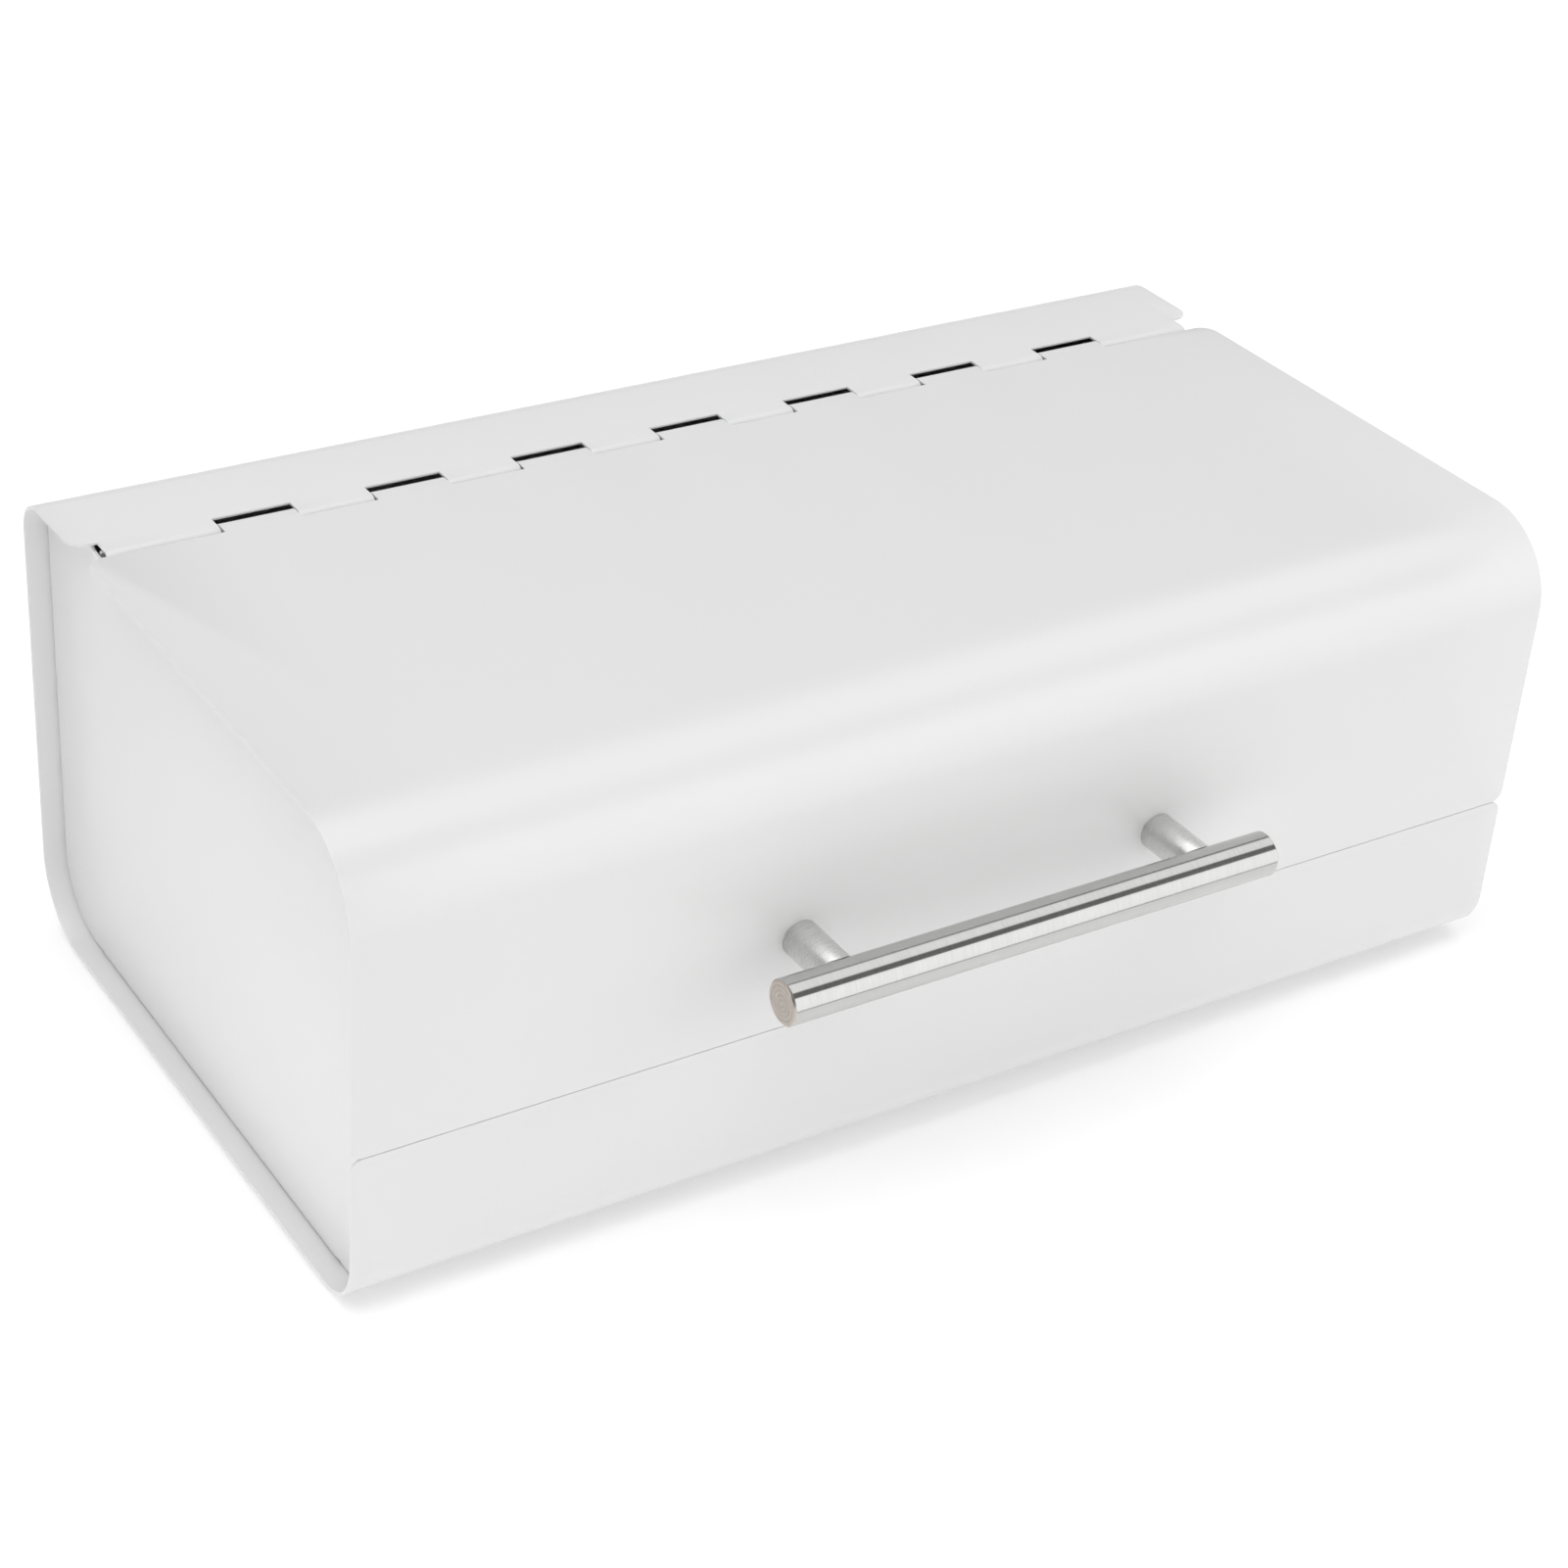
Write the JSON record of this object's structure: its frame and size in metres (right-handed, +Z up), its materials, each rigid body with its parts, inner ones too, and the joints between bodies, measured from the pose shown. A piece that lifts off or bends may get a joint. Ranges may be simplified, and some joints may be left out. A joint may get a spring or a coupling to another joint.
{
  "type": "bread box",
  "caption": "Sheet-steel bread box with inset side panels, a front-opening hinged lid on a piano-style hinge and a round steel bar handle.",
  "frame": {"origin": "on the floor, under the middle of the whole object's box, handle included", "axes": "+Z up, -Y is the front with the handle, +X along the box to the right as seen from the front"},
  "size_m": [0.42, 0.258, 0.1555],
  "materials": {
    "white_powder_coat": "satin",
    "brushed_stainless_steel": "fine turned, satin",
    "zinc_plated_steel": "plated, semi-matt",
    "grey_rubber": "matt",
    "clear_silicone": "satin"
  },
  "bodies": {
    "box": {"body_wrap": "white_powder_coat", "side_panel_left": "white_powder_coat", "side_panel_right": "white_powder_coat", "hinge_pin": "zinc_plated_steel", "lid_bumper_left": "clear_silicone", "lid_bumper_right": "clear_silicone", "foot_front_left": "grey_rubber", "foot_front_right": "grey_rubber", "foot_rear_left": "grey_rubber", "foot_rear_right": "grey_rubber"},
    "lid_assembly": {"lid": "white_powder_coat", "handle_bar": "brushed_stainless_steel", "handle_post_left": "brushed_stainless_steel", "handle_post_right": "brushed_stainless_steel", "handle_washer_left": "zinc_plated_steel", "handle_washer_right": "zinc_plated_steel", "handle_screw_left": "zinc_plated_steel", "handle_screw_right": "zinc_plated_steel"}
  },
  "joints": [
    {"name": "lid_hinge", "type": "hinge", "parent": "box", "child": "lid_assembly", "pos_m": [0, 0.0846, 0.15165], "axis": [-1, 0, 0], "range_deg": [0, 95]}
  ]
}
